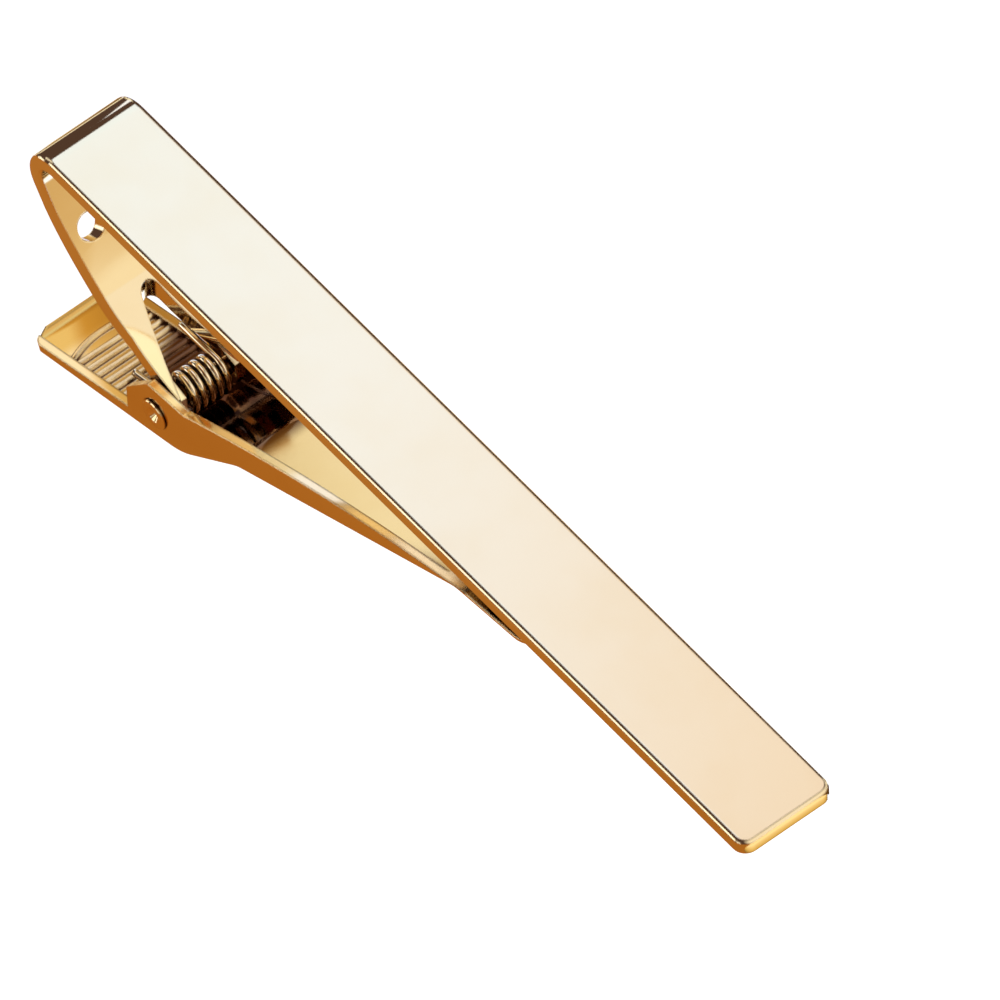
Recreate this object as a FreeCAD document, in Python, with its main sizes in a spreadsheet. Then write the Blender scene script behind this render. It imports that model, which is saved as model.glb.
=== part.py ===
import FreeCAD, Part
import math
import os
import Sketcher

os.makedirs("parts", exist_ok=True)
doc = FreeCAD.newDocument("TieClip")

# The side view is drawn with the front bar level: X runs from the bend to the free end, Z is up through the
# front face, whose height is 0, and Y runs across the width. Every piece is then laid down by one Placement,
# so that the clip lies on its back, on the thumb tab and the free end of the bar.

# Driving dimensions, in millimetres and degrees.
driving = [
    ("bar_length", 58.0, "front bar, bend to free end"),
    ("bar_width", 6.0, "front bar, across"),
    ("strip_thick", 1.0, "strip that the bar and leg are bent from"),
    ("bend_outer", 2.1, "outer radius of the bend"),
    ("bend_sweep", 118.5, "turn of the bend"),
    ("leg_curve", 45.0, "outer radius of the leg after the bend"),
    ("leg_sweep", 9.5, "turn of that curve"),
    ("leg_end_curve", 9.8, "outer radius of the leg towards its end"),
    ("leg_end_sweep", 43.0, "turn of that curve"),
    ("end_corner", 0.8, "corner of the free end, seen from the front"),
    ("front_edge", 0.28, "softened edge of the front face"),
    ("back_edge", 0.15, "chamfered edge of the back"),
    ("hole_radius", 0.8, "round hole in the leg"),
    ("hole_side", 1.4, "hole centre from the middle of the leg"),
    ("hole_turn", 4.6, "hole centre, in degrees along the leg's first curve"),
    ("neck_start", 1.0, "where the leg starts to narrow"),
    ("neck_end", 7.0, "where the leg has its narrow width"),
    ("slot_start", 5.4, "closed end of the fork's slot"),
    ("slot_round", 0.6, "radius of the slot's closed end"),
    ("slot_mouth", 2.2, "half width of the slot at the end of the leg"),
    ("ear_thick", 0.62, "ear of the leg, across"),
    ("ear_radius", 1.05, "round end of the ear, about the rivet"),
    ("ear_back_turn", 16.0, "rear root of the ear, in degrees along the leg from its end"),
    ("ear_fore_turn", 0.5, "front root of the ear, in the same way"),
    ("pin_turn", 4.5, "rivet centre, in degrees along the leg from its end"),
    ("pin_hang", 1.28, "rivet centre below the middle of the strip"),
    ("pin_radius", 0.5, "rivet shank"),
    ("pin_press", 0.01, "rivet clearance in the ears"),
    ("pin_run", 0.05, "rivet clearance in the jaw"),
    ("head_radius", 0.9, "rivet head"),
    ("head_thick", 0.15, "rivet head, across"),
    ("head_gap", 0.03, "play between head and jaw"),
    ("head_round", 0.06, "chamfer of the head"),
    ("dimple_radius", 0.5, "dimple in the head, at its mouth"),
    ("dimple_floor", 0.2, "dimple in the head, at its floor"),
    ("dimple_depth", 0.25, "dimple in the head"),
    ("jaw_width", 5.9, "jaw, across"),
    ("sheet_thick", 0.5, "sheet that the jaw is stamped from"),
    ("side_clear", 0.25, "play between the ears and the jaw's walls"),
    ("pin_rise", 2.1, "rivet centre above the tab's underside"),
    ("jaw_reach", 41.1, "tip of the nose along the bar"),
    ("grip_gap", 0.06, "gap between the closed nose and the bar"),
    ("bill_slope", 8.0, "flat end of the nose"),
    ("bill_run", 6.0, "length of the flat end"),
    ("bill_curve", 3.0, "bend behind the flat end"),
    ("nose_lift", 3.2, "height above the rivet that the nose slopes to over its bend"),
    ("nose_curve", 4.0, "bend behind the nose"),
    ("nose_fore", 9.0, "centre of that bend before the rivet"),
    ("rise_clear", 2.5, "rivet centre above the underside between tab and nose"),
    ("rise_curve", 5.0, "bend under the rivet"),
    ("tab_reach", 12.0, "end of the tab from the rivet"),
    ("tab_curve", 1.6, "upturned end of the tab"),
    ("tab_upturn", 40.0, "turn of that end"),
    ("tab_corner", 0.9, "corner of the tab, seen from above"),
    ("tab_end_round", 5.5, "end of the tab, seen from above"),
    ("tip_corner", 1.6, "corner of the nose, seen from above"),
    ("lip_height", 1.0, "side lip of the tab, from its underside"),
    ("cheek_back", 2.4, "rear edge of the cheek behind the rivet"),
    ("cheek_sill", 0.2, "corner of that edge below the rivet"),
    ("crest_back", 0.5, "crest of the cheek behind the rivet"),
    ("crest_rise", 2.0, "crest above the rivet"),
    ("heel_fore", 2.4, "heel of the rim before the rivet"),
    ("heel_rise", 2.3, "heel above the rivet"),
    ("rim_curve", 130.0, "rim of the nose"),
    ("press_round", 0.4, "outer bend between floor and walls"),
    ("rib_radius", 0.22, "rib across the tab"),
    ("rib_pitch", 0.78, "rib to rib"),
    ("rib_count", 7, "straight ribs"),
    ("rib_first", 3.4, "first straight rib from the rivet"),
    ("arch_gap", 1.15, "crown of the arched rib from the last straight one"),
    ("arch_radius", 4.6, "arched rib, seen from above"),
    ("groove_depth", 0.12, "groove under each rib"),
    ("wire_thick", 0.44, "spring wire"),
    ("coil_radius", 1.05, "spring coil, to the middle of the wire"),
    ("coil_pitch", 0.95, "turn to turn"),
    ("coil_turns", 2, "whole turns between the arms"),
    ("leg_arm_along", 6.6, "end of the spring's upper arm along the bar"),
    ("leg_arm_gap", 0.75, "gap between the upper arm and the leg"),
    ("tab_arm_reach", 4.6, "end of the lower arm from the rivet"),
]

sizes = doc.addObject("Spreadsheet::Sheet", "Sizes")
for row, (alias, number, meaning) in enumerate(driving, start=1):
    sizes.set("A%d" % row, meaning)
    sizes.set("B%d" % row, str(number))
    sizes.setAlias("B%d" % row, alias)
doc.recompute()


def size(alias):
    return float(getattr(sizes, alias))


# Values worked out from the driving ones, kept where every piece can bind to them.
worked = doc.addObject("App::VarSet", "Worked")


def work_out(kind, name, expression):
    worked.addProperty("App::Property" + kind, name)
    worked.setExpression(name, expression)


# Centres of the leg's two curves, then the ears' roots and the rivet by the second of them and the hole's
# centre on the first.
work_out("Angle", "leg_start", "180 deg + Sizes.bend_sweep * 1 deg")
work_out("Angle", "leg_middle", "leg_start + Sizes.leg_sweep * 1 deg")
work_out("Float", "upper_x", "Sizes.bend_outer + (Sizes.bend_outer - Sizes.leg_curve) * sin(leg_start)")
work_out("Float", "upper_z", "-Sizes.bend_outer - (Sizes.bend_outer - Sizes.leg_curve) * cos(leg_start)")
work_out("Float", "curve_x", "upper_x + (Sizes.leg_curve - Sizes.leg_end_curve) * sin(leg_middle)")
work_out("Float", "curve_z", "upper_z - (Sizes.leg_curve - Sizes.leg_end_curve) * cos(leg_middle)")
for root in ("back", "fore"):
    work_out("Angle", root + "_root", "leg_middle + (Sizes.leg_end_sweep - Sizes.ear_%s_turn) * 1 deg" % root)
    work_out("Float", root + "_root_x",
             "curve_x + (Sizes.leg_end_curve - Sizes.strip_thick / 2) * sin(%s_root)" % root)
    work_out("Float", root + "_root_z",
             "curve_z - (Sizes.leg_end_curve - Sizes.strip_thick / 2) * cos(%s_root)" % root)
work_out("Angle", "pin_angle", "leg_middle + (Sizes.leg_end_sweep - Sizes.pin_turn) * 1 deg")
work_out("Float", "pin_reach", "Sizes.leg_end_curve - Sizes.strip_thick / 2 + Sizes.pin_hang")
work_out("Float", "pin_along", "curve_x + pin_reach * sin(pin_angle)")
work_out("Float", "pin_drop", "pin_reach * cos(pin_angle) - curve_z")
work_out("Angle", "hole_angle", "leg_start + Sizes.hole_turn * 1 deg")
work_out("Float", "hole_x", "upper_x + (Sizes.leg_curve - Sizes.strip_thick / 2) * sin(hole_angle)")
work_out("Float", "hole_z", "upper_z - (Sizes.leg_curve - Sizes.strip_thick / 2) * cos(hole_angle)")

# The clip lies on a line through the free end of the bar that passes under the rivet.
work_out("Float", "rest_drop", "pin_drop - Sizes.strip_thick")
work_out("Float", "rest_run", "Sizes.bar_length - pin_along")
work_out("Float", "rest_span", "sqrt(rest_run * rest_run + rest_drop * rest_drop)")
work_out("Angle", "lie", "atan(rest_drop / rest_run) + asin(Sizes.pin_rise / rest_span)")
work_out("Float", "shift_z", "Sizes.bar_length * sin(lie) + Sizes.strip_thick * cos(lie)")
work_out("Float", "pin_x", "pin_along * cos(lie) - pin_drop * sin(lie)")
work_out("Float", "shift_x", "-(pin_x - Sizes.tab_reach + Sizes.bar_length * cos(lie)) / 2")

# Half widths across the hinge.
work_out("Float", "cheek_inner", "Sizes.jaw_width / 2 - Sizes.sheet_thick")
work_out("Float", "ear_outer", "cheek_inner - Sizes.side_clear")
work_out("Float", "ear_inner", "ear_outer - Sizes.ear_thick")

# Points of the jaw: tip, end of the bill, start of the trough, turn of the tab's end and foot of the rivet on
# the tab. The nose slopes from the bill down to the place of its bend.
work_out("Float", "tip_z", "-Sizes.strip_thick - Sizes.grip_gap - Sizes.sheet_thick")
work_out("Float", "bill_x", "Sizes.jaw_reach - Sizes.bill_run * cos(Sizes.bill_slope * 1 deg)")
work_out("Float", "bill_z", "tip_z - Sizes.bill_run * sin(Sizes.bill_slope * 1 deg)")
work_out("Float", "nose_turn", "pin_along + Sizes.nose_fore")
work_out("Angle", "nose_slope", "atan((bill_z + pin_drop - Sizes.nose_lift) / (bill_x - nose_turn))")
work_out("Float", "trough_x", "bill_x + Sizes.bill_curve * sin(Sizes.bill_slope * 1 deg)"
         " - (Sizes.bill_curve + Sizes.sheet_thick) * sin(nose_slope)")
work_out("Float", "trough_z", "bill_z - Sizes.bill_curve * cos(Sizes.bill_slope * 1 deg)"
         " + (Sizes.bill_curve + Sizes.sheet_thick) * cos(nose_slope)")
work_out("Float", "turn_x", "pin_along - (Sizes.tab_curve - Sizes.pin_rise) * sin(lie)"
         " - (Sizes.tab_reach - Sizes.tab_curve * sin(Sizes.tab_upturn * 1 deg)) * cos(lie)")
work_out("Float", "foot_x", "pin_along + Sizes.pin_rise * sin(lie)")
work_out("Float", "foot_z", "-pin_drop - Sizes.pin_rise * cos(lie)")
doc.recompute()
lie = math.radians(worked.lie.Value)


def lay_down(piece):
    piece.Placement = FreeCAD.Placement(FreeCAD.Vector(worked.shift_x, 0, worked.shift_z),
                                        FreeCAD.Rotation(FreeCAD.Vector(0, 1, 0), worked.lie.Value))
    piece.setExpression("Placement.Base.x", "Worked.shift_x")
    piece.setExpression("Placement.Base.z", "Worked.shift_z")
    piece.setExpression("Placement.Rotation.Angle", "Worked.lie")


def add_body(label):
    body = doc.addObject("PartDesign::Body", label)
    body.Label = label
    lay_down(body)
    return body


def origin_plane(body, role):
    return [feature for feature in body.Origin.OriginFeatures if feature.Role == role][0]


def add_sketch(body, name, role):
    sketch = body.newObject("Sketcher::SketchObject", name)
    sketch.AttachmentSupport = [(origin_plane(body, role), "")]
    sketch.MapMode = "FlatFace"
    return sketch


def bind(sketch, constraint, expression):
    number = sketch.addConstraint(constraint)
    sketch.setExpression("Constraints[%d]" % number, expression)


def pin_point(sketch, item, end, across, up):
    # Ties a point to the sketch's origin; across and up are each (value, expression).
    for kind, (value, expression) in (("DistanceX", across), ("DistanceY", up)):
        if value < 0:
            bind(sketch, Sketcher.Constraint(kind, item, end, -1, 1, -value), "-(" + expression + ")")
        else:
            bind(sketch, Sketcher.Constraint(kind, -1, 1, item, end, value), expression)


def point_at(start, heading, run):
    return FreeCAD.Vector(start.x + run * math.cos(heading), start.y + run * math.sin(heading), 0)


def add_line(sketch, start, finish):
    return sketch.addGeometry(Part.LineSegment(start, finish))


def join(sketch, *items):
    for first, second in zip(items, items[1:]):
        sketch.addConstraint(Sketcher.Constraint("Coincident", first[0], first[1], second[0], second[1]))


def add_polygon(sketch, outline):
    # Each corner of the outline is (x, expression, y, expression).
    points = [FreeCAD.Vector(across, up, 0) for across, _, up, _ in outline]
    lines = [add_line(sketch, one, two) for one, two in zip(points, points[1:] + points[:1])]
    for line, after, (across, across_text, up, up_text) in zip(lines, lines[1:] + lines[:1], outline):
        join(sketch, (line, 2), (after, 1))
        pin_point(sketch, line, 1, (across, across_text), (up, up_text))
    return lines


def add_chain(sketch, start, heading, heading_expression, pieces):
    # A chain of lines and arcs, each tangent to the one before. A line is (run, expression) and an arc is
    # (radius, expression, sweep, expression), with a negative sweep for a right turn. A run or sweep whose
    # expression is None is left to other constraints.
    # Returns (item, first end, last end) of each piece and the last point.
    made = []
    for piece in pieces:
        if len(piece) == 2:
            finish = point_at(start, heading, piece[0])
            item = add_line(sketch, start, finish)
            ends = (item, 1, 2)
            if piece[1]:
                bind(sketch, Sketcher.Constraint("Distance", item, piece[0]), piece[1])
        else:
            radius, radius_expression, sweep, sweep_expression = piece
            side = math.copysign(math.pi / 2, sweep)
            centre = point_at(start, heading + side, radius)
            low, high = sorted((heading - side, heading - side + sweep))
            item = sketch.addGeometry(Part.ArcOfCircle(Part.Circle(centre, FreeCAD.Vector(0, 0, 1), radius),
                                                       low, high))
            ends = (item, 1, 2) if sweep > 0 else (item, 2, 1)
            heading += sweep
            finish = point_at(centre, heading - side, radius)
            bind(sketch, Sketcher.Constraint("Radius", item, radius), radius_expression)
            if sweep_expression:
                bind(sketch, Sketcher.Constraint("Angle", item, abs(sweep)), sweep_expression)
        if made:
            sketch.addConstraint(Sketcher.Constraint("Tangent", made[-1][0], made[-1][2], ends[0], ends[1]))
        elif heading_expression:
            bind(sketch, Sketcher.Constraint("Angle", item, heading), heading_expression)
        made.append(ends)
        start = finish
    return made, start


def add_pad(body, name, sketch, expression, symmetric=True, reverse=False):
    pad = body.newObject("PartDesign::Pad", name)
    pad.Profile = sketch
    pad.SideType = "Symmetric" if symmetric else "One side"
    pad.Reversed = reverse
    pad.setExpression("Length", expression)
    doc.recompute()
    return pad


def add_pocket(body, name, sketch, expression, symmetric=True):
    before = body.Shape.Volume
    pocket = body.newObject("PartDesign::Pocket", name)
    pocket.Profile = sketch
    if expression:
        pocket.SideType = "Symmetric" if symmetric else "One side"
        pocket.setExpression("Length", expression)
    else:
        pocket.Type = "ThroughAll"
    doc.recompute()
    if not body.Shape.Volume < before - 1e-4:
        raise RuntimeError(name + " cuts nothing")
    return pocket


def add_mirror(body, name, feature):
    mirror = body.newObject("PartDesign::Mirrored", name)
    mirror.Originals = [feature]
    mirror.MirrorPlane = (origin_plane(body, "XZ_Plane"), [""])
    body.Tip = mirror
    doc.recompute()
    return mirror


def add_edge_work(body, name, kind, measure, expression, chosen):
    base = body.Tip
    names = ["Edge%d" % number for number, edge in enumerate(base.Shape.Edges, start=1) if chosen(edge)]
    if not names:
        raise RuntimeError(name + " finds no edge")
    worked_edges = body.newObject("PartDesign::" + kind, name)
    worked_edges.Base = (base, names)
    worked_edges.setExpression(measure, expression)
    doc.recompute()
    return worked_edges


def add_fillet(body, name, expression, chosen):
    return add_edge_work(body, name, "Fillet", "Radius", expression, chosen)


def add_chamfer(body, name, expression, chosen):
    return add_edge_work(body, name, "Chamfer", "Size", expression, chosen)


def edge_ends(edge):
    return [vertex.Point for vertex in edge.Vertexes]


def is_at(edge, axis, place):
    # True where the whole edge lies at one place on an axis of the drawing.
    return all(abs(getattr(point, axis) - place) < 1e-4 for point in edge_ends(edge))


# Folded bar

def strip_outline(body):
    sketch = add_sketch(body, "StripOutline", "XZ_Plane")
    flat = size("bar_length") - size("bend_outer")
    closing = []
    for inset, inset_text in ((0.0, "0"), (size("strip_thick"), "Sizes.strip_thick")):
        start = FreeCAD.Vector(size("bar_length"), -inset, 0)
        turns = [("bend_outer", "bend_sweep"), ("leg_curve", "leg_sweep"), ("leg_end_curve", "leg_end_sweep")]
        arcs = [(size(radius) - inset, "Sizes.%s - %s" % (radius, inset_text),
                 math.radians(size(sweep)), "Sizes.%s * 1 deg" % sweep) for radius, sweep in turns]
        made, finish = add_chain(sketch, start, math.pi, None,
                                 [(flat, "Sizes.bar_length - Sizes.bend_outer")] + arcs)
        sketch.addConstraint(Sketcher.Constraint("Horizontal", made[0][0]))
        pin_point(sketch, made[0][0], 1, (start.x, "Sizes.bar_length"), (start.y, "-" + inset_text))
        closing.append((made, start, finish))
    (outer, outer_start, outer_finish), (inner, inner_start, inner_finish) = closing
    free_end = add_line(sketch, outer_start, inner_start)
    join(sketch, (outer[0][0], 1), (free_end, 1))
    join(sketch, (inner[0][0], 1), (free_end, 2))
    leg_end = add_line(sketch, outer_finish, inner_finish)
    join(sketch, (outer[-1][0], outer[-1][2]), (leg_end, 1))
    join(sketch, (inner[-1][0], inner[-1][2]), (leg_end, 2))
    return sketch


def leg_sketch(body, name):
    # A sketch seen from the front, between the bar and the leg, so that its cuts go down through the leg.
    sketch = add_sketch(body, name, "XY_Plane")
    sketch.setExpression("AttachmentOffset.Base.z", "-Sizes.bend_outer")
    return sketch


def neck_outline(body):
    # What is cut away beside the leg: one side draws in straight, then runs on past its end.
    sketch = leg_sketch(body, "NeckOutline")
    wide = size("bar_width") / 2
    reach = size("neck_end") + worked.pin_drop
    reach_text = "Sizes.neck_end + Worked.pin_drop"
    outline = [(size("neck_start"), "Sizes.neck_start", wide, "Sizes.bar_width / 2"),
               (size("neck_end"), "Sizes.neck_end", worked.ear_outer, "Worked.ear_outer"),
               (reach, reach_text, worked.ear_outer, "Worked.ear_outer"),
               (reach, reach_text, wide + 1, "Sizes.bar_width / 2 + 1"),
               (size("neck_start"), "Sizes.neck_start", wide + 1, "Sizes.bar_width / 2 + 1")]
    add_polygon(sketch, outline)
    return sketch


def slot_outline(body):
    # A round closed end, with sides that spread to the mouth between the ears.
    sketch = leg_sketch(body, "SlotOutline")
    radius = size("slot_round")
    centre = FreeCAD.Vector(size("slot_start") + radius, 0, 0)
    mouth = worked.fore_root_x + radius
    reach = FreeCAD.Vector(mouth, size("slot_mouth"), 0) - centre
    lean = math.atan2(reach.y, reach.x) + math.acos(radius / reach.Length)
    arc = sketch.addGeometry(Part.ArcOfCircle(Part.Circle(centre, FreeCAD.Vector(0, 0, 1), radius),
                                              lean, 2 * math.pi - lean))
    far = add_line(sketch, point_at(centre, lean, radius), FreeCAD.Vector(mouth, reach.y, 0))
    near = add_line(sketch, point_at(centre, -lean, radius), FreeCAD.Vector(mouth, -reach.y, 0))
    end = add_line(sketch, FreeCAD.Vector(mouth, reach.y, 0), FreeCAD.Vector(mouth, -reach.y, 0))
    sketch.addConstraint(Sketcher.Constraint("Tangent", arc, 1, far, 1))
    sketch.addConstraint(Sketcher.Constraint("Tangent", arc, 2, near, 1))
    join(sketch, (far, 2), (end, 1))
    join(sketch, (near, 2), (end, 2))
    pin_point(sketch, arc, 3, (centre.x, "Sizes.slot_start + Sizes.slot_round"), (0, "0"))
    bind(sketch, Sketcher.Constraint("Radius", arc, radius), "Sizes.slot_round")
    mouth_text = "Worked.fore_root_x + Sizes.slot_round"
    pin_point(sketch, far, 2, (mouth, mouth_text), (reach.y, "Sizes.slot_mouth"))
    pin_point(sketch, near, 2, (mouth, mouth_text), (-reach.y, "-Sizes.slot_mouth"))
    return sketch


def ear_outline(body):
    # A lobe about the rivet, hung from two roots inside the leg.
    sketch = add_sketch(body, "EarOutline", "XZ_Plane")
    sketch.setExpression("AttachmentOffset.Base.z", "-Worked.ear_inner")
    centre = FreeCAD.Vector(worked.pin_along, -worked.pin_drop, 0)
    radius = size("ear_radius")
    back = FreeCAD.Vector(worked.back_root_x, worked.back_root_z, 0)
    fore = FreeCAD.Vector(worked.fore_root_x, worked.fore_root_z, 0)
    lean = {}
    for name, root, turn in (("back", back, 1), ("fore", fore, -1)):
        reach = root - centre
        lean[name] = math.atan2(reach.y, reach.x) + turn * math.acos(radius / reach.Length)
    arc = sketch.addGeometry(Part.ArcOfCircle(Part.Circle(centre, FreeCAD.Vector(0, 0, 1), radius),
                                              lean["back"], lean["fore"] + 2 * math.pi))
    back_line = add_line(sketch, back, point_at(centre, lean["back"], radius))
    fore_line = add_line(sketch, point_at(centre, lean["fore"], radius), fore)
    top = add_line(sketch, fore, back)
    sketch.addConstraint(Sketcher.Constraint("Tangent", back_line, 2, arc, 1))
    sketch.addConstraint(Sketcher.Constraint("Tangent", arc, 2, fore_line, 1))
    join(sketch, (fore_line, 2), (top, 1))
    join(sketch, (top, 2), (back_line, 1))
    pin_point(sketch, arc, 3, (centre.x, "Worked.pin_along"), (centre.y, "-Worked.pin_drop"))
    bind(sketch, Sketcher.Constraint("Radius", arc, radius), "Sizes.ear_radius")
    pin_point(sketch, top, 2, (back.x, "Worked.back_root_x"), (back.y, "Worked.back_root_z"))
    pin_point(sketch, top, 1, (fore.x, "Worked.fore_root_x"), (fore.y, "Worked.fore_root_z"))
    return sketch


def rivet_hole(body, name, clearance):
    sketch = add_sketch(body, name + "Circle", "XZ_Plane")
    centre = FreeCAD.Vector(worked.pin_along, -worked.pin_drop, 0)
    radius = size("pin_radius") + size(clearance)
    circle = sketch.addGeometry(Part.Circle(centre, FreeCAD.Vector(0, 0, 1), radius))
    pin_point(sketch, circle, 3, (centre.x, "Worked.pin_along"), (centre.y, "-Worked.pin_drop"))
    bind(sketch, Sketcher.Constraint("Radius", circle, radius), "Sizes.pin_radius + Sizes." + clearance)
    return add_pocket(body, name, sketch, "Sizes.bar_width * 2")


def leg_hole(body):
    # The sketch lies square to the leg at the hole, halfway through the strip.
    sketch = add_sketch(body, "LegHoleCircle", "XY_Plane")
    sketch.AttachmentOffset = FreeCAD.Placement(
        FreeCAD.Vector(worked.hole_x, 0, worked.hole_z),
        FreeCAD.Rotation(FreeCAD.Vector(0, 1, 0), 360 - worked.hole_angle.Value))
    sketch.setExpression("AttachmentOffset.Base.x", "Worked.hole_x")
    sketch.setExpression("AttachmentOffset.Base.z", "Worked.hole_z")
    sketch.setExpression("AttachmentOffset.Rotation.Angle", "360 deg - Worked.hole_angle")
    side = -size("hole_side")
    circle = sketch.addGeometry(Part.Circle(FreeCAD.Vector(0, side, 0), FreeCAD.Vector(0, 0, 1),
                                            size("hole_radius")))
    pin_point(sketch, circle, 3, (0, "0"), (side, "-Sizes.hole_side"))
    bind(sketch, Sketcher.Constraint("Radius", circle, size("hole_radius")), "Sizes.hole_radius")
    return add_pocket(body, "LegHole", sketch, "Sizes.strip_thick * 2")


def make_folded_bar():
    body = add_body("folded_bar")
    add_pad(body, "Strip", strip_outline(body), "Sizes.bar_width")
    add_fillet(body, "FreeEndCorners", "Sizes.end_corner",
               lambda edge: is_at(edge, "x", size("bar_length")) and abs(edge.tangentAt(0).y) < 0.5)
    half = size("bar_length") / 2
    add_fillet(body, "FrontEdges", "Sizes.front_edge",
               lambda edge: is_at(edge, "z", 0) and edge.Length > half)
    add_chamfer(body, "BackEdges", "Sizes.back_edge",
                lambda edge: is_at(edge, "z", -size("strip_thick")) and edge.Length > half)
    neck = add_pocket(body, "Neck", neck_outline(body), None)
    add_mirror(body, "OtherNeck", neck)
    add_pocket(body, "Slot", slot_outline(body), None)
    ear = add_pad(body, "Ear", ear_outline(body), "Sizes.ear_thick", symmetric=False, reverse=True)
    add_mirror(body, "OtherEar", ear)
    rivet_hole(body, "EarHoles", "pin_press")
    leg_hole(body)
    return body


# Jaw

def floor_pieces(start, lift, lift_text):
    # The floor from the nose back to the end of the tab, on its underside or, lifted by the sheet, on top.
    # The stretch between nose and tab passes close under the rivet, and its slope follows from that.
    nose = math.pi + math.radians(worked.nose_slope.Value)
    tab = math.pi + lie
    nose_radius = size("nose_curve") + lift
    rise_radius = size("rise_curve") - lift
    tab_radius = size("tab_curve") - lift
    pin = FreeCAD.Vector(worked.pin_along, -worked.pin_drop, 0)
    nose_run = (worked.nose_turn + nose_radius * math.sin(nose) - start.x) / math.cos(nose)
    nose_centre = point_at(point_at(start, nose, nose_run), nose + math.pi / 2, nose_radius)
    reach = pin - nose_centre
    rise = math.atan2(reach.y, reach.x) + math.asin((size("rise_clear") + size("nose_curve")) / reach.Length)

    rise_start = point_at(nose_centre, rise - math.pi / 2, nose_radius)
    rise_centre = point_at(rise_start, rise - math.pi / 2, rise_radius)
    tab_start = point_at(rise_centre, tab + math.pi / 2, rise_radius)
    above = FreeCAD.Vector(-math.sin(lie), math.cos(lie), 0).dot(tab_start - pin) + size("pin_rise") - lift
    rise_run = above / math.sin(rise - tab)
    tab_start = point_at(tab_start, rise, rise_run)
    tab_run = (worked.turn_x + tab_radius * math.sin(lie) - tab_start.x) / math.cos(tab)
    return [(nose_run, None),
            (nose_radius, "Sizes.nose_curve + " + lift_text, rise - nose, None),
            (rise_run, None),
            (rise_radius, "Sizes.rise_curve - " + lift_text, tab - rise, None),
            (tab_run, None),
            (tab_radius, "Sizes.tab_curve - " + lift_text, -math.radians(size("tab_upturn")),
             "Sizes.tab_upturn * 1 deg")]


def hold_floor(sketch, made, lift, lift_text):
    # Fixes the three straight stretches by the nose's bend, the rivet and the tab's turned end.
    nose_arc, rise_line, tab_line, tab_arc = made[1][0], made[2][0], made[4][0], made[5][0]
    bind(sketch, Sketcher.Constraint("DistanceX", -1, 1, nose_arc, 3, worked.nose_turn), "Worked.nose_turn")
    bind(sketch, Sketcher.Constraint("DistanceX", -1, 1, tab_arc, 3, worked.turn_x), "Worked.turn_x")
    pin = FreeCAD.Vector(worked.pin_along, -worked.pin_drop, 0)
    rivet = sketch.addGeometry(Part.Point(pin), True)
    pin_point(sketch, rivet, 1, (pin.x, "Worked.pin_along"), (pin.y, "-Worked.pin_drop"))
    for line, height in ((rise_line, "rise_clear"), (tab_line, "pin_rise")):
        bind(sketch, Sketcher.Constraint("Distance", rivet, 1, line, size(height) - lift),
             "Sizes.%s - %s" % (height, lift_text))
    bind(sketch, Sketcher.Constraint("Angle", tab_line, math.pi + lie), "Worked.lie + 180 deg")


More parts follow.
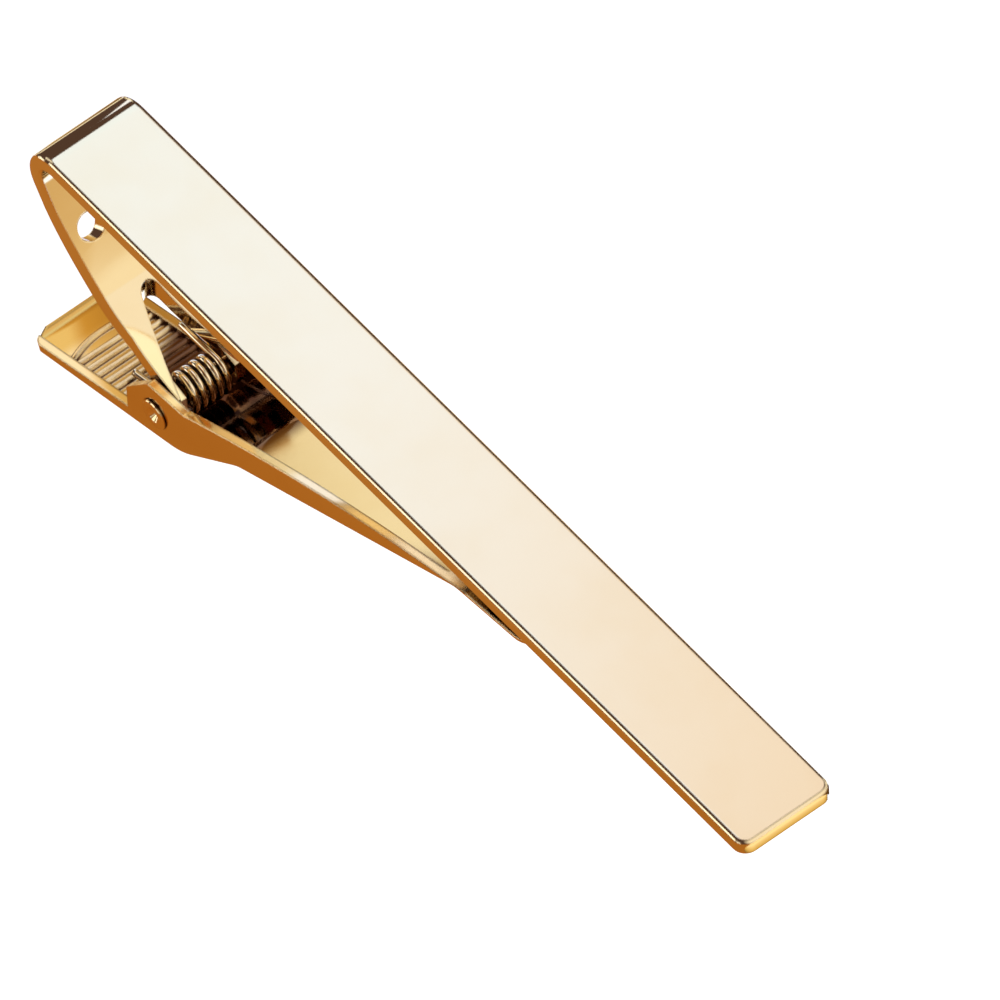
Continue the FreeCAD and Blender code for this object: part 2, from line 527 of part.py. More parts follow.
def wall_outline(body):
    # The jaw from the side: its underside from the tip to the tab, then the rim back over the cheek.
    sketch = add_sketch(body, "WallOutline", "XZ_Plane")
    tip = FreeCAD.Vector(size("jaw_reach"), worked.tip_z, 0)
    bill = math.radians(180 + size("bill_slope"))
    nose = math.pi + math.radians(worked.nose_slope.Value)
    lead = [(size("bill_run"), "Sizes.bill_run"),
            (size("bill_curve"), "Sizes.bill_curve", nose - bill,
             "Worked.nose_slope - Sizes.bill_slope * 1 deg")]
    bill_end = point_at(tip, bill, size("bill_run"))
    centre = point_at(bill_end, bill + math.pi / 2, size("bill_curve"))
    nose_start = point_at(centre, nose - math.pi / 2, size("bill_curve"))
    made, tab_end = add_chain(sketch, tip, bill, "Sizes.bill_slope * 1 deg + 180 deg",
                              lead + floor_pieces(nose_start, 0.0, "0"))
    pin_point(sketch, made[0][0], 1, (tip.x, "Sizes.jaw_reach"), (tip.y, "Worked.tip_z"))
    hold_floor(sketch, made[2:], 0.0, "0")

    pin = FreeCAD.Vector(worked.pin_along, -worked.pin_drop, 0)
    cap_heading = math.pi / 2 + lie - math.radians(size("tab_upturn"))
    tab_top = point_at(tab_end, cap_heading, size("sheet_thick"))
    lip_foot = pin.y + (size("lip_height") - size("pin_rise")) / math.cos(lie) \
        - size("cheek_back") * math.tan(lie)
    corners = [tab_end, tab_top, FreeCAD.Vector(pin.x - size("cheek_back"), lip_foot, 0),
               pin + FreeCAD.Vector(-size("cheek_back"), -size("cheek_sill"), 0),
               pin + FreeCAD.Vector(-size("crest_back"), size("crest_rise"), 0),
               pin + FreeCAD.Vector(size("heel_fore"), size("heel_rise"), 0)]
    lines = [add_line(sketch, one, two) for one, two in zip(corners, corners[1:])]
    for one, two in zip(lines, lines[1:]):
        join(sketch, (one, 2), (two, 1))
    sketch.addConstraint(Sketcher.Constraint("Perpendicular", made[-1][0], made[-1][2], lines[0], 1))
    bind(sketch, Sketcher.Constraint("Distance", lines[0], size("sheet_thick")), "Sizes.sheet_thick")
    back_text = "Worked.pin_along - Sizes.cheek_back"
    pin_point(sketch, lines[2], 1, (corners[2].x, back_text),
              (lip_foot, "(Sizes.lip_height - Sizes.pin_rise) / cos(Worked.lie) - Worked.pin_drop"
                         " - Sizes.cheek_back * tan(Worked.lie)"))
    pin_point(sketch, lines[2], 2, (corners[3].x, back_text),
              (corners[3].y, "-Sizes.cheek_sill - Worked.pin_drop"))
    pin_point(sketch, lines[3], 2, (corners[4].x, "Worked.pin_along - Sizes.crest_back"),
              (corners[4].y, "Sizes.crest_rise - Worked.pin_drop"))
    pin_point(sketch, lines[4], 2, (corners[5].x, "Worked.pin_along + Sizes.heel_fore"),
              (corners[5].y, "Sizes.heel_rise - Worked.pin_drop"))

    # The rim bows from the heel down to the top of the flat end.
    bill_top = point_at(tip, bill - math.pi / 2, size("sheet_thick"))
    rim_end = point_at(bill_top, bill, size("bill_run") - 0.5)
    chord = rim_end - corners[5]
    apex = math.sqrt(size("rim_curve") ** 2 - (chord.Length / 2) ** 2)
    middle = (rim_end + corners[5]) * 0.5
    chord_heading = math.atan2(chord.y, chord.x)
    rim_centre = point_at(middle, chord_heading - math.pi / 2, apex)
    half = math.asin(chord.Length / 2 / size("rim_curve"))
    rim = sketch.addGeometry(Part.ArcOfCircle(
        Part.Circle(rim_centre, FreeCAD.Vector(0, 0, 1), size("rim_curve")),
        chord_heading + math.pi / 2 - half, chord_heading + math.pi / 2 + half))
    bill_line = add_line(sketch, rim_end, bill_top)
    nose_end = add_line(sketch, bill_top, tip)
    join(sketch, (lines[-1], 2), (rim, 2))
    join(sketch, (rim, 1), (bill_line, 1))
    join(sketch, (bill_line, 2), (nose_end, 1))
    join(sketch, (nose_end, 2), (made[0][0], 1))
    bind(sketch, Sketcher.Constraint("Radius", rim, size("rim_curve")), "Sizes.rim_curve")
    sketch.addConstraint(Sketcher.Constraint("Parallel", bill_line, made[0][0]))
    sketch.addConstraint(Sketcher.Constraint("Perpendicular", nose_end, made[0][0]))
    bind(sketch, Sketcher.Constraint("Distance", nose_end, size("sheet_thick")), "Sizes.sheet_thick")
    bind(sketch, Sketcher.Constraint("Distance", bill_line, size("bill_run") - 0.5), "Sizes.bill_run - 0.5")
    return sketch


def channel_outline(body):
    # The space between the walls, on top of the floor and open above and past the tab's end.
    sketch = add_sketch(body, "ChannelOutline", "XZ_Plane")
    sheet = size("sheet_thick")
    start = FreeCAD.Vector(worked.trough_x, worked.trough_z, 0)
    nose = math.pi + math.radians(worked.nose_slope.Value)
    made, tab_top = add_chain(sketch, start, nose, "Worked.nose_slope + 180 deg",
                              floor_pieces(start, sheet, "Sizes.sheet_thick"))
    pin_point(sketch, made[0][0], 1, (start.x, "Worked.trough_x"), (start.y, "Worked.trough_z"))
    hold_floor(sketch, made, sheet, "Sizes.sheet_thick")
    outside = -size("tab_reach")
    corners = [tab_top, FreeCAD.Vector(outside, tab_top.y, 0), FreeCAD.Vector(outside, 0, 0),
               FreeCAD.Vector(start.x, 0, 0), start]
    lines = [add_line(sketch, one, two) for one, two in zip(corners, corners[1:])]
    join(sketch, (made[-1][0], made[-1][2]), (lines[0], 1))
    for one, two in zip(lines, lines[1:]):
        join(sketch, (one, 2), (two, 1))
    join(sketch, (lines[-1], 2), (made[0][0], 1))
    for direction, line in zip(("Horizontal", "Vertical", "Horizontal", "Vertical"), lines):
        sketch.addConstraint(Sketcher.Constraint(direction, line))
    pin_point(sketch, lines[1], 2, (outside, "-Sizes.tab_reach"), (0, "0"))
    return sketch


def tab_end_outline(body):
    # What is cut away outside the rounded end of the tab, seen square to the tab.
    sketch = add_sketch(body, "TabEndOutline", "XY_Plane")
    sketch.AttachmentOffset = FreeCAD.Placement(FreeCAD.Vector(worked.foot_x, 0, worked.foot_z),
                                                FreeCAD.Rotation(FreeCAD.Vector(0, -1, 0), worked.lie.Value))
    sketch.setExpression("AttachmentOffset.Base.x", "Worked.foot_x")
    sketch.setExpression("AttachmentOffset.Base.z", "Worked.foot_z")
    sketch.setExpression("AttachmentOffset.Rotation.Angle", "Worked.lie")
    reach = size("tab_reach")
    side = size("jaw_width") / 2
    corner = size("tab_corner")
    end = size("tab_end_round")
    lean = math.asin((side - corner) / (end - corner))
    up = FreeCAD.Vector(0, 0, 1)
    middle = FreeCAD.Vector(end - reach, 0, 0)
    shoulder = middle.x - (end - corner) * math.cos(lean)
    near = sketch.addGeometry(Part.ArcOfCircle(
        Part.Circle(FreeCAD.Vector(shoulder, corner - side, 0), up, corner), math.pi + lean, 3 * math.pi / 2))
    end_circle = Part.Circle(middle, up, end)
    round_end = sketch.addGeometry(Part.ArcOfCircle(end_circle, math.pi - lean, math.pi + lean))
    far = sketch.addGeometry(Part.ArcOfCircle(
        Part.Circle(FreeCAD.Vector(shoulder, side - corner, 0), up, corner), math.pi / 2, math.pi - lean))
    sketch.addConstraint(Sketcher.Constraint("Tangent", near, 1, round_end, 2))
    sketch.addConstraint(Sketcher.Constraint("Tangent", round_end, 1, far, 2))
    for arc, radius in ((near, "tab_corner"), (round_end, "tab_end_round"), (far, "tab_corner")):
        bind(sketch, Sketcher.Constraint("Radius", arc, size(radius)), "Sizes." + radius)
    pin_point(sketch, round_end, 3, (middle.x, "Sizes.tab_end_round - Sizes.tab_reach"), (0, "0"))
    drop = "Sizes.jaw_width / 2 - Sizes.tab_corner"
    bind(sketch, Sketcher.Constraint("DistanceY", near, 3, -1, 1, side - corner), drop)
    bind(sketch, Sketcher.Constraint("DistanceY", -1, 1, far, 3, side - corner), drop)
    sketch.addConstraint(Sketcher.Constraint("Vertical", near, 2, near, 3))
    sketch.addConstraint(Sketcher.Constraint("Vertical", far, 1, far, 3))
    outside = -reach - 1
    corners = [FreeCAD.Vector(shoulder, -side, 0), FreeCAD.Vector(shoulder, -side - 1, 0),
               FreeCAD.Vector(outside, -side - 1, 0), FreeCAD.Vector(outside, side + 1, 0),
               FreeCAD.Vector(shoulder, side + 1, 0), FreeCAD.Vector(shoulder, side, 0)]
    lines = [add_line(sketch, one, two) for one, two in zip(corners, corners[1:])]
    join(sketch, (near, 2), (lines[0], 1))
    for one, two in zip(lines, lines[1:]):
        join(sketch, (one, 2), (two, 1))
    join(sketch, (lines[-1], 2), (far, 1))
    for direction, line in zip(("Vertical", "Horizontal", "Vertical", "Horizontal", "Vertical"), lines):
        sketch.addConstraint(Sketcher.Constraint(direction, line))
    pin_point(sketch, lines[2], 1, (outside, "-Sizes.tab_reach - 1"), (-side - 1, "-Sizes.jaw_width / 2 - 1"))
    bind(sketch, Sketcher.Constraint("DistanceY", -1, 1, lines[3], 1, side + 1), "Sizes.jaw_width / 2 + 1")
    return sketch


def tab_sketch(body, name):
    # A side sketch turned with the tab, from the foot of the rivet on its underside.
    sketch = add_sketch(body, name, "XZ_Plane")
    sketch.AttachmentOffset = FreeCAD.Placement(FreeCAD.Vector(worked.foot_x, worked.foot_z, 0),
                                                FreeCAD.Rotation(FreeCAD.Vector(0, 0, 1), worked.lie.Value))
    sketch.setExpression("AttachmentOffset.Base.x", "Worked.foot_x")
    sketch.setExpression("AttachmentOffset.Base.y", "Worked.foot_z")
    sketch.setExpression("AttachmentOffset.Rotation.Angle", "Worked.lie")
    return sketch


def rib_circle(sketch, along, up):
    radius = size("rib_radius")
    centre = FreeCAD.Vector(along[0], up[0], 0)
    circle = sketch.addGeometry(Part.Circle(centre, FreeCAD.Vector(0, 0, 1), radius))
    pin_point(sketch, circle, 3, along, up)
    bind(sketch, Sketcher.Constraint("Radius", circle, radius), "Sizes.rib_radius")
    return circle


def add_row(body, name, feature, sketch):
    row = body.newObject("PartDesign::LinearPattern", name)
    row.Originals = [feature]
    row.Direction = (sketch, ["H_Axis"])
    row.Reversed = True
    row.setExpression("Length", "Sizes.rib_pitch * (Sizes.rib_count - 1)")
    row.setExpression("Occurrences", "Sizes.rib_count")
    body.Tip = row
    doc.recompute()
    return row


def make_ribs(body):
    first = (-size("rib_first"), "-Sizes.rib_first")
    sketch = tab_sketch(body, "RibCircle")
    rib_circle(sketch, first, (size("sheet_thick"), "Sizes.sheet_thick"))
    rib = add_pad(body, "Rib", sketch, "2 * Worked.cheek_inner + Sizes.sheet_thick")
    add_row(body, "Ribs", rib, sketch)

    under = tab_sketch(body, "GrooveCircle")
    drop = size("groove_depth") - size("rib_radius")
    rib_circle(under, first, (drop, "Sizes.groove_depth - Sizes.rib_radius"))
    groove = add_pocket(body, "Groove", under, "2 * Worked.cheek_inner - Sizes.sheet_thick")
    add_row(body, "Grooves", groove, under)

    # The outermost rib is arched: it turns about an axis square to the tab.
    arch = tab_sketch(body, "ArchCircle")
    crown = -size("rib_first") - size("rib_pitch") * (size("rib_count") - 1) - size("arch_gap")
    crown_text = "-Sizes.rib_first - Sizes.rib_pitch * (Sizes.rib_count - 1) - Sizes.arch_gap"
    rib_circle(arch, (crown, crown_text), (size("sheet_thick"), "Sizes.sheet_thick"))
    hub = crown + size("arch_radius")
    axis = arch.addGeometry(Part.LineSegment(FreeCAD.Vector(hub, 0, 0), FreeCAD.Vector(hub, 1, 0)), True)
    pin_point(arch, axis, 1, (hub, crown_text + " + Sizes.arch_radius"), (0, "0"))
    pin_point(arch, axis, 2, (hub, crown_text + " + Sizes.arch_radius"), (1, "1"))
    turn = body.newObject("PartDesign::Revolution", "ArchedRib")
    turn.Profile = arch
    turn.ReferenceAxis = (arch, ["Axis0"])
    turn.Midplane = True
    turn.setExpression("Angle", "2 * asin((Worked.cheek_inner + Sizes.sheet_thick / 4) / Sizes.arch_radius)")
    doc.recompute()


def make_clip_jaw():
    body = add_body("clip_jaw")
    add_pad(body, "Block", wall_outline(body), "Sizes.jaw_width")
    side = size("jaw_width") / 2
    tip = size("jaw_reach")

    def upright(edge):
        one, two = edge_ends(edge)
        return abs(one.y - two.y) < 1e-4 and abs(abs(one.y) - side) < 1e-4

    add_fillet(body, "TipCorners", "Sizes.tip_corner",
               lambda edge: upright(edge) and min(point.x for point in edge_ends(edge)) > tip - 0.2)
    flat_tab = size("tab_reach") - 2 * size("tab_curve")
    underside = [Part.Vertex(worked.foot_x - flat_tab * math.cos(lie), across,
                             worked.foot_z - flat_tab * math.sin(lie)) for across in (side, -side)]
    add_fillet(body, "PressedEdges", "Sizes.press_round",
               lambda edge: any(edge.distToShape(place)[0] < 1e-3 for place in underside))
    add_pocket(body, "TabEnd", tab_end_outline(body), "2 * Worked.pin_drop")
    add_pocket(body, "Channel", channel_outline(body), "2 * Worked.cheek_inner")
    make_ribs(body)
    rivet_hole(body, "CheekHoles", "pin_run")
    return body


# Rivet

def make_hinge_pin():
    # Half of the rivet is turned about its own axis and mirrored across the middle of the clip.
    body = add_body("hinge_pin")
    sketch = add_sketch(body, "RivetOutline", "XY_Plane")
    sketch.setExpression("AttachmentOffset.Base.z", "-Worked.pin_drop")
    neck = size("jaw_width") / 2 + size("head_gap")
    top = neck + size("head_thick")
    neck_text = "Sizes.jaw_width / 2 + Sizes.head_gap"
    top_text = neck_text + " + Sizes.head_thick"
    outline = [
        (0, "0", 0, "0"),
        (size("pin_radius"), "Sizes.pin_radius", 0, "0"),
        (size("pin_radius"), "Sizes.pin_radius", neck, neck_text),
        (size("head_radius"), "Sizes.head_radius", neck, neck_text),
        (size("head_radius"), "Sizes.head_radius",
         top - size("head_round"), top_text + " - Sizes.head_round"),
        (size("head_radius") - size("head_round"), "Sizes.head_radius - Sizes.head_round", top, top_text),
        (size("dimple_radius"), "Sizes.dimple_radius", top, top_text),
        (size("dimple_floor"), "Sizes.dimple_floor", top - size("dimple_depth"),
         top_text + " - Sizes.dimple_depth"),
        (0, "0", top - size("dimple_depth"), top_text + " - Sizes.dimple_depth"),
    ]
    lines = add_polygon(sketch, [(worked.pin_along + radius, "Worked.pin_along + " + radius_text, up, up_text)
                                 for radius, radius_text, up, up_text in outline])
    axis_ends = [FreeCAD.Vector(worked.pin_along, up, 0) for up in (0, top - size("dimple_depth"))]
    axis = sketch.addGeometry(Part.LineSegment(*axis_ends), True)
    join(sketch, (axis, 1), (lines[0], 1))
    join(sketch, (axis, 2), (lines[-1], 1))
    turn = body.newObject("PartDesign::Revolution", "HalfRivet")
    turn.Profile = sketch
    turn.ReferenceAxis = (sketch, ["Axis0"])
    turn.Angle = 360
    doc.recompute()
    add_mirror(body, "OtherHalf", turn)
    return body


# Spring

def arc_between(start, heading, finish):
    # The arc that leaves start along heading and ends at finish.
    chord = finish - start
    along = FreeCAD.Vector(chord).normalize()
    lean = heading - along * heading.dot(along)
    if lean.Length < 1e-6:
        return Part.LineSegment(start, finish).toShape()
    half = math.acos(max(-1.0, min(1.0, heading.dot(along))))
    bow = lean.normalize() * (chord.Length / 2 * math.tan(half / 2))
    return Part.Arc(start, start + chord * 0.5 + bow, finish).toShape()


def two_arcs(start, heading, finish, last_heading):
    # Two arcs that meet smoothly and run from one point and heading to another.
    reach = finish - start
    square = 2 * (1 - heading.dot(last_heading))
    slope = 2 * reach.dot(heading + last_heading)
    if abs(square) < 1e-9:
        step = reach.dot(reach) / slope
    else:
        step = (-slope + math.sqrt(slope * slope + 4 * square * reach.dot(reach))) / (2 * square)
    one = start + heading * step
    two = finish - last_heading * step
    middle = (one + two) * 0.5
    turn = FreeCAD.Vector(two - one).normalize()
    return [arc_between(start, heading, middle), arc_between(middle, turn, finish)]


def spring_route():
    # The wire as a list of points and headings, joined by pairs of arcs: upper arm, turns, lower arm.
    pin = FreeCAD.Vector(worked.pin_along, 0, -worked.pin_drop)
    radius = size("coil_radius")
    wire = size("wire_thick")
    reach = size("leg_arm_along") - worked.curve_x
    leg_back = worked.curve_z - math.sqrt(size("leg_end_curve") ** 2 - reach ** 2)
    arm_drop = (wire / 2 + size("leg_arm_gap")) * size("leg_end_curve") / (worked.curve_z - leg_back)
    arm_end = FreeCAD.Vector(size("leg_arm_along"), 0, leg_back - arm_drop)

    span = math.hypot(pin.x - arm_end.x, pin.z - arm_end.z)
    dip = math.atan2(pin.z - arm_end.z, pin.x - arm_end.x) + math.asin(radius / span)
    first = dip + math.pi / 2
    last = lie - math.pi / 2
    sweep = first - last + 2 * math.pi * size("coil_turns")
    width = size("coil_pitch") * sweep / (2 * math.pi)
    lean = size("coil_pitch") / (2 * math.pi)

    def on_coil(turned):
        angle = first - turned
        place = FreeCAD.Vector(pin.x + radius * math.cos(angle), width / 2 - lean * turned,
                               pin.z + radius * math.sin(angle))
        heading = FreeCAD.Vector(radius * math.sin(angle), -lean, -radius * math.cos(angle))
        return place, heading.normalize()

    # Each arm runs straight on from its end turn.
    blend = math.radians(50)
    arm_end.y = width / 2
    arm_heading = FreeCAD.Vector(math.cos(dip), 0, math.sin(dip))
    arm_start = on_coil(0)[0] - arm_heading * radius
    route = [(arm_end, arm_heading), (arm_start, arm_heading)]
    steps = math.ceil((sweep - 2 * blend) / math.pi)
    for number in range(steps + 1):
        route.append(on_coil(blend + (sweep - 2 * blend) * number / steps))
    tab_heading = FreeCAD.Vector(-math.cos(lie), 0, -math.sin(lie))
    leave = on_coil(sweep)[0]
    route.append((leave + tab_heading * radius, tab_heading))
    route.append((leave + tab_heading * size("tab_arm_reach"), tab_heading))
    return route


def least_gap(edges):
    # The least clear distance between stretches of the wire that aren't neighbours along it.
    points = []
    for edge in edges:
        points += edge.discretize(Distance=0.05)[:-1]
    skip = int(math.pi * size("coil_radius") / 0.05)
    least = min((points[one] - points[two]).Length for one in range(0, len(points), 2)
                for two in range(one + skip, len(points), 2))
    return least - size("wire_thick")


def make_torsion_spring():
    route = spring_route()
    edges = []
    for (start, heading), (finish, last_heading) in zip(route, route[1:]):
        edges += two_arcs(start, heading, finish, last_heading)
    path = Part.Wire(edges)
    circle = Part.Circle(route[0][0], route[0][1], size("wire_thick") / 2)
    tube = path.makePipeShell([Part.Wire([circle.toShape()])], True, False)
    print("spring: %.2f mm of wire, least gap to itself %.2f mm" % (path.Length, least_gap(edges)))
    spring = doc.addObject("Part::Feature", "torsion_spring")
    spring.Label = "torsion_spring"
    spring.Shape = tube
    lay_down(spring)
    return spring


pieces = [make_folded_bar(), make_clip_jaw(), make_hinge_pin(), make_torsion_spring()]
doc.recompute()

for thing in doc.Objects:
    if "Invalid" in thing.State or "Error" in thing.State:
        raise RuntimeError(thing.Label + " did not build: " + ", ".join(thing.State))
for piece in pieces:
    if piece.Shape.isNull() or not piece.Shape.isValid():
        raise RuntimeError(piece.Label + " has no valid shape")
for piece in pieces:
    piece.Shape.exportStep("parts/%s.step" % piece.Label)
    box = piece.Shape.BoundBox
    print("%s: %.2f mm3, x %.2f..%.2f, y %.2f..%.2f, z %.2f..%.2f" % (
        piece.Label, piece.Shape.Volume, box.XMin, box.XMax, box.YMin, box.YMax, box.ZMin, box.ZMax))
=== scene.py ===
import math

import bpy
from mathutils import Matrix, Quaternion, Vector


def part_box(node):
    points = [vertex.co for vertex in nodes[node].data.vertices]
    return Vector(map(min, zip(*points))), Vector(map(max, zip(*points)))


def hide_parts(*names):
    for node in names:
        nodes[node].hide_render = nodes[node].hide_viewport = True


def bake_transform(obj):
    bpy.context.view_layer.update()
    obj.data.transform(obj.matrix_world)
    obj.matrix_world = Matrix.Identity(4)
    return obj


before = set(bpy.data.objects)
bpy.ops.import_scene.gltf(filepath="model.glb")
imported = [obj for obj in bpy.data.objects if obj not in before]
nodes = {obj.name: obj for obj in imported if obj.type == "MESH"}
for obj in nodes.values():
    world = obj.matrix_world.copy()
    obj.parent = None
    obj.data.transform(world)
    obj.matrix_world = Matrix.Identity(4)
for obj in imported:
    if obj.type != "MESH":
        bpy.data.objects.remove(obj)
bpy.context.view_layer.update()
mm = 0.001
pinLow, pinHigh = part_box("hinge_pin")
rivet = (pinLow + pinHigh) / 2  # places below are told from the rivet's middle
print("frame loaded:", sorted(nodes))


def addNode(tree, kind, **settings):
    # Settings named after a socket go to that input, the others to the node itself.
    node = tree.nodes.new(kind)
    for name, value in settings.items():
        socket = node.inputs.get(name.replace("_", " "))
        if socket is not None and not hasattr(node, name):
            socket.default_value = value
        else:
            setattr(node, name, value)
    return node


def addRamp(tree, source, stops):
    ramp = addNode(tree, "ShaderNodeValToRGB")
    while len(ramp.color_ramp.elements) < len(stops):
        ramp.color_ramp.elements.new(0.5)
    for element, (place, colour) in zip(ramp.color_ramp.elements, stops):
        element.position = place
        element.color = (*colour, 1.0)
    tree.links.new(source, ramp.inputs["Fac"])
    return ramp


def newMaterial(name):
    material = bpy.data.materials.new(name)
    material.use_nodes = True
    tree = material.node_tree
    tree.nodes.clear()
    output = addNode(tree, "ShaderNodeOutputMaterial")
    return material, tree, output


# Plating shared by every piece: cloudy tone, painted shade that darkens the crevices and pockets towards
# dark brown, fine buffing haze and a faint waviness of the polished skin.
platingLook = {"cloudScale": 220.0, "buffScale": 2600.0, "swellScale": 160.0, "cloudShare": 0.35,
               "creviceShade": (0.50, 0.85), "pocketShade": (0.10, 0.55), "hazeSpread": (0.6, 1.4),
               "bumpStrength": 0.12, "bumpDepth": 0.05}


def makePlatingGroup():
    group = bpy.data.node_groups.new("plating", "ShaderNodeTree")
    for name, kind, value in (("Tint", "NodeSocketColor", (0.9, 0.7, 0.4, 1)),
                              ("Deep Tint", "NodeSocketColor", (0.8, 0.5, 0.2, 1)),
                              ("Painted Shade Tint", "NodeSocketColor", (0.2, 0.08, 0.03, 1)),
                              ("Crevice Reach", "NodeSocketFloat", 0.0003),
                              ("Pocket Reach", "NodeSocketFloat", 0.002),
                              ("Haze", "NodeSocketFloat", 0.1),
                              ("Wave", "NodeSocketFloat", 0.05)):
        socket = group.interface.new_socket(name, in_out="INPUT", socket_type=kind)
        socket.default_value = value
    for name, kind in (("Base Color", "NodeSocketColor"), ("Roughness", "NodeSocketFloat"),
                       ("Height", "NodeSocketFloat")):
        group.interface.new_socket(name, in_out="OUTPUT", socket_type=kind)
    source = addNode(group, "NodeGroupInput")
    sink = addNode(group, "NodeGroupOutput")
    place = addNode(group, "ShaderNodeTexCoord")
    cloud = addNode(group, "ShaderNodeTexNoise", Scale=platingLook["cloudScale"], Detail=3.0)
    buff = addNode(group, "ShaderNodeTexNoise", Scale=platingLook["buffScale"], Detail=4.0)
    swell = addNode(group, "ShaderNodeTexNoise", Scale=platingLook["swellScale"], Detail=1.0)
    for noise in (cloud, buff, swell):
        group.links.new(place.outputs["Object"], noise.inputs["Vector"])
    share = addNode(group, "ShaderNodeMapRange")
    share.inputs["From Min"].default_value = 0.4
    share.inputs["From Max"].default_value = 0.75
    share.inputs["To Max"].default_value = platingLook["cloudShare"]
    group.links.new(cloud.outputs["Fac"], share.inputs["Value"])
    tone = addNode(group, "ShaderNodeMix", data_type="RGBA")
    group.links.new(share.outputs["Result"], tone.inputs["Factor"])
    group.links.new(source.outputs["Tint"], tone.inputs["A"])
    group.links.new(source.outputs["Deep Tint"], tone.inputs["B"])
    shares = []
    # painted shade: ambient occlusion within each reach darkens the colour towards the painted shade tint
    for reach, shade in (("Crevice Reach", "creviceShade"), ("Pocket Reach", "pocketShade")):
        darkest, cleanest = platingLook[shade]
        shelter = addNode(group, "ShaderNodeAmbientOcclusion", samples=8)
        group.links.new(source.outputs[reach], shelter.inputs["Distance"])
        openness = addNode(group, "ShaderNodeMapRange")
        openness.inputs["From Min"].default_value = darkest
        openness.inputs["From Max"].default_value = cleanest
        group.links.new(shelter.outputs["AO"], openness.inputs["Value"])
        shares.append(openness)
    unshaded = addNode(group, "ShaderNodeMath", operation="MULTIPLY")
    for number, openness in enumerate(shares):
        group.links.new(openness.outputs["Result"], unshaded.inputs[number])
    shadeMix = addNode(group, "ShaderNodeMix", data_type="RGBA")
    group.links.new(unshaded.outputs["Value"], shadeMix.inputs["Factor"])
    group.links.new(source.outputs["Painted Shade Tint"], shadeMix.inputs["A"])
    group.links.new(tone.outputs["Result"], shadeMix.inputs["B"])
    group.links.new(shadeMix.outputs["Result"], sink.inputs["Base Color"])
    grain = addNode(group, "ShaderNodeMapRange")
    grain.inputs["To Min"].default_value, grain.inputs["To Max"].default_value = platingLook["hazeSpread"]
    group.links.new(buff.outputs["Fac"], grain.inputs["Value"])
    haze = addNode(group, "ShaderNodeMath", operation="MULTIPLY")
    group.links.new(grain.outputs["Result"], haze.inputs[0])
    group.links.new(source.outputs["Haze"], haze.inputs[1])
    group.links.new(haze.outputs["Value"], sink.inputs["Roughness"])
    height = addNode(group, "ShaderNodeMath", operation="MULTIPLY")
    group.links.new(swell.outputs["Fac"], height.inputs[0])
    group.links.new(source.outputs["Wave"], height.inputs[1])
    group.links.new(height.outputs["Value"], sink.inputs["Height"])
    return group


platingGroup = makePlatingGroup()


# Painted shade on the upward faces of a piece, between two places along it, told in mm from the rivet.
def addPaintedShade(tree, colour, shadeMark):
    low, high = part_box(shadeMark["node"])
    long, wide = high.x - low.x, high.y - low.y
    start, end = ((rivet.x + shadeMark[side] * mm - low.x) / long for side in ("start", "end"))
    soft = shadeMark["soft"] * mm / long
    slant = shadeMark["slant"] * wide / long  # the first edge of the stain may run askew
    place = addNode(tree, "ShaderNodeTexCoord")
    split = addNode(tree, "ShaderNodeSeparateXYZ")
    tree.links.new(place.outputs["Generated"], split.inputs["Vector"])
    facing = addNode(tree, "ShaderNodeSeparateXYZ")
    tree.links.new(place.outputs["Normal"], facing.inputs["Vector"])
    rise = addNode(tree, "ShaderNodeMapRange", interpolation_type="SMOOTHSTEP")
    rise.inputs["From Min"].default_value = start + slant / 2 - soft
    rise.inputs["From Max"].default_value = start + slant / 2 + soft
    fall = addNode(tree, "ShaderNodeMapRange", interpolation_type="SMOOTHSTEP")
    fall.inputs["From Min"].default_value = end + soft
    fall.inputs["From Max"].default_value = end - soft
    tree.links.new(split.outputs["X"], fall.inputs["Value"])
    askew = addNode(tree, "ShaderNodeMath", operation="MULTIPLY_ADD")
    askew.inputs[1].default_value = slant
    tree.links.new(split.outputs["Y"], askew.inputs[0])
    tree.links.new(split.outputs["X"], askew.inputs[2])
    tree.links.new(askew.outputs["Value"], rise.inputs["Value"])
    inside = addNode(tree, "ShaderNodeMath", operation="COMPARE")  # within half its width of the middle
    inside.inputs[1].default_value = 0.5
    inside.inputs[2].default_value = shadeMark["halfWidth"] * mm / wide
    tree.links.new(split.outputs["Y"], inside.inputs[0])
    upward = addNode(tree, "ShaderNodeMath", operation="GREATER_THAN")
    upward.inputs[1].default_value = shadeMark["leastRise"]
    tree.links.new(facing.outputs["Z"], upward.inputs[0])
    share = rise.outputs["Result"]
    for limit in (fall.outputs["Result"], inside.outputs["Value"], upward.outputs["Value"]):
        both = addNode(tree, "ShaderNodeMath", operation="MULTIPLY")
        tree.links.new(share, both.inputs[0])
        tree.links.new(limit, both.inputs[1])
        share = both.outputs["Value"]
    part = addNode(tree, "ShaderNodeMath", operation="MULTIPLY")
    part.inputs[1].default_value = shadeMark["amount"]
    tree.links.new(share, part.inputs[0])
    shadeMixed = addNode(tree, "ShaderNodeMix", data_type="RGBA")
    shadeMixed.inputs["B"].default_value = (*shadeMark["tint"], 1.0)
    tree.links.new(part.outputs["Value"], shadeMixed.inputs["Factor"])
    tree.links.new(colour, shadeMixed.inputs["A"])
    return shadeMixed.outputs["Result"]


